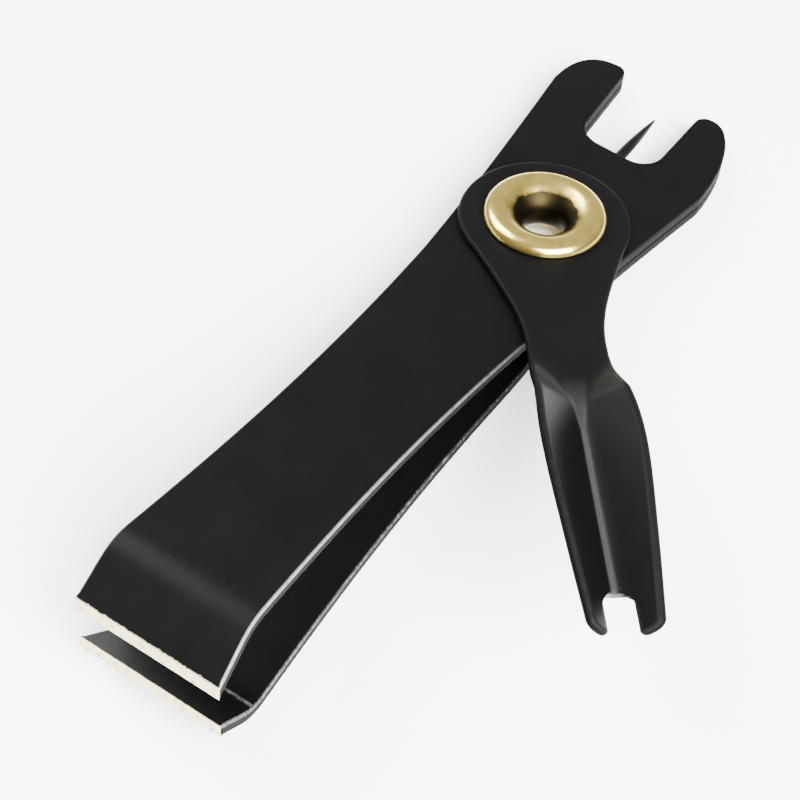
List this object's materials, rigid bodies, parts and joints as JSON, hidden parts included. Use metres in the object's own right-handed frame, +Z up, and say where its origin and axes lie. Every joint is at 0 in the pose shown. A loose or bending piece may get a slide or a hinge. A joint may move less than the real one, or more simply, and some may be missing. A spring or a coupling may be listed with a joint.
{
  "type": "line nipper",
  "caption": "Angler's line nipper: two sprung blackened-steel cutting arms on a brass eyelet, with a forked tail guarding a needle and a swinging knot-tying arm.",
  "frame": {"origin": "on the eyelet's axis, at the plane where the two arms' tails touch", "axes": "+Z up the eyelet's axis towards its rolled rim, +X towards the fork at the tail; the cutting lips are at -X and the knot tool swings out towards -Y"},
  "size_m": [0.058, 0.0293, 0.0112],
  "materials": {
    "black_steel": "satin black oxide",
    "needle_steel": "darkened steel",
    "brass": "polished"
  },
  "bodies": {
    "clamped_tail": {"upper_arm_tail": "black_steel", "lower_arm_tail": "black_steel", "eyelet": "brass", "needle": "needle_steel"},
    "upper_arm": {"upper_arm_jaw": "black_steel"},
    "lower_arm": {"lower_arm_jaw": "black_steel"},
    "knot_arm": {"knot_tool": "black_steel"}
  },
  "joints": [
    {"name": "upper_arm_flex", "type": "hinge", "parent": "clamped_tail", "child": "upper_arm", "pos_m": [-0.0066, 0, 0.0004], "axis": [0, -1, 0], "range_deg": [0, 2], "stiffness_Nm_per_rad": 0.5},
    {"name": "lower_arm_flex", "type": "hinge", "parent": "clamped_tail", "child": "lower_arm", "pos_m": [-0.0046, 0, -0.0004], "axis": [0, 1, 0], "range_deg": [0, 2], "stiffness_Nm_per_rad": 0.5},
    {"name": "knot_tool_swing", "type": "hinge", "parent": "clamped_tail", "child": "knot_arm", "pos_m": [0, 0, 0], "axis": [0, 0, 1], "continuous": true}
  ],
  "couplings": [
    {"joint": "upper_arm_flex", "follows": "lower_arm_flex", "ratio": 1}
  ]
}
